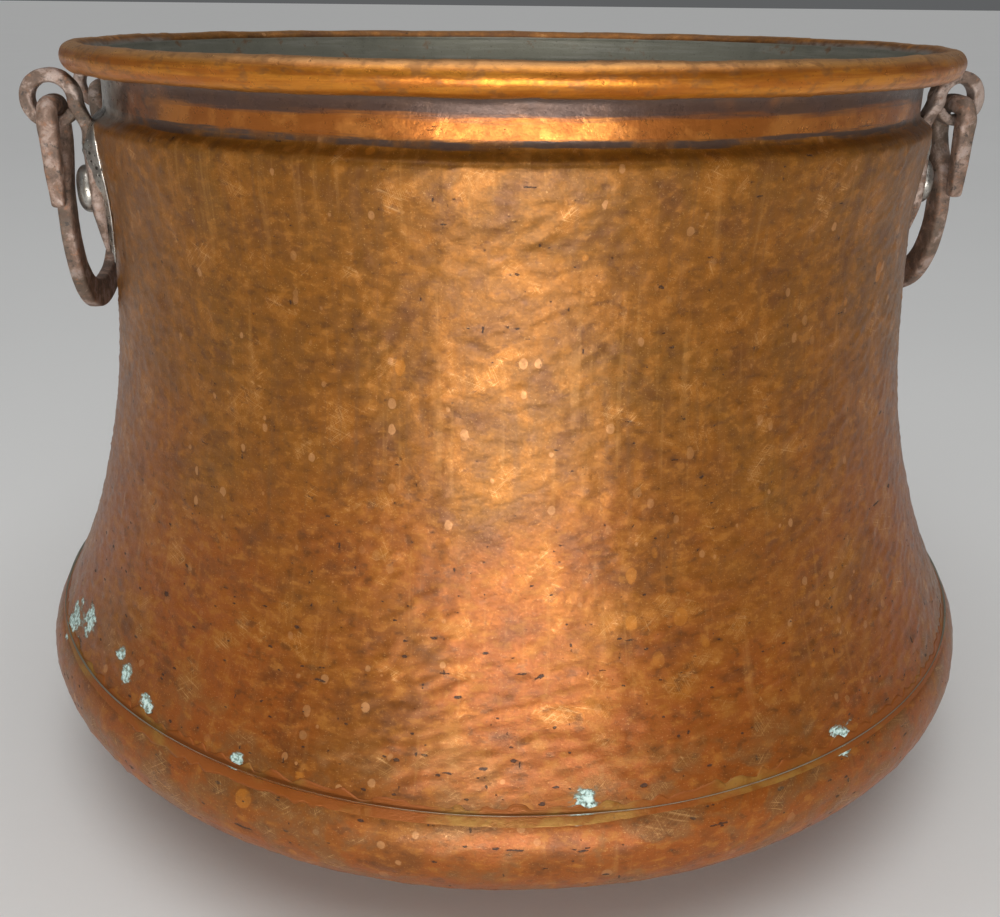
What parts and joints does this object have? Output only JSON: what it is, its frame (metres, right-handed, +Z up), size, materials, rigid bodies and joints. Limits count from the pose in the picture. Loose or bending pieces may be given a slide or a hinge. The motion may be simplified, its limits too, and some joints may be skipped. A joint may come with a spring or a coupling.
{
  "type": "copper cauldron",
  "caption": "Large open hammered copper cauldron with a rolled rim, a flared belly, a dished base and iron drop handles that swing in riveted eyes.",
  "frame": {"origin": "centre of the flat base, on the surface that the pot stands on", "axes": "+Z up along the pot's axis of revolution, +X through the middle of the right handle, +Y to the back where the upright seam is"},
  "size_m": [0.6152, 0.6152, 0.438],
  "materials": {
    "copper_wall": "hammered copper with a golden brown patina, satin",
    "copper_base": "hammered reddish copper with dark pits and verdigris, satin",
    "brass_spelter": "brazed joint, dull yellow",
    "wrought_iron": "forged, rust brown with rubbed grey highlights",
    "tin_solder": "rough wiped tin, pitted",
    "tinned_rivet": "domed iron head with worn tin, glossy"
  },
  "bodies": {
    "pot": {"body_wall": "copper_wall", "base_pan": "copper_base", "base_seam": "brass_spelter", "side_seam": "brass_spelter", "rim_rod": "wrought_iron", "left_front_bracket": "wrought_iron", "left_front_solder": "tin_solder", "left_front_rivet": "tinned_rivet", "left_rear_bracket": "wrought_iron", "left_rear_solder": "tin_solder", "left_rear_rivet": "tinned_rivet", "right_front_bracket": "wrought_iron", "right_front_solder": "tin_solder", "right_front_rivet": "tinned_rivet", "right_rear_bracket": "wrought_iron", "right_rear_solder": "tin_solder", "right_rear_rivet": "tinned_rivet"},
    "left_bail": {"left_bail": "wrought_iron"},
    "right_bail": {"right_bail": "wrought_iron"}
  },
  "joints": [
    {"name": "left_bail_swing", "type": "hinge", "parent": "pot", "child": "left_bail", "pos_m": [-0.2585, 0, 0.40585], "axis": [0, 1, 0], "range_deg": [-1, 165]},
    {"name": "right_bail_swing", "type": "hinge", "parent": "pot", "child": "right_bail", "pos_m": [0.2585, 0, 0.40585], "axis": [0, -1, 0], "range_deg": [-1, 165]}
  ]
}
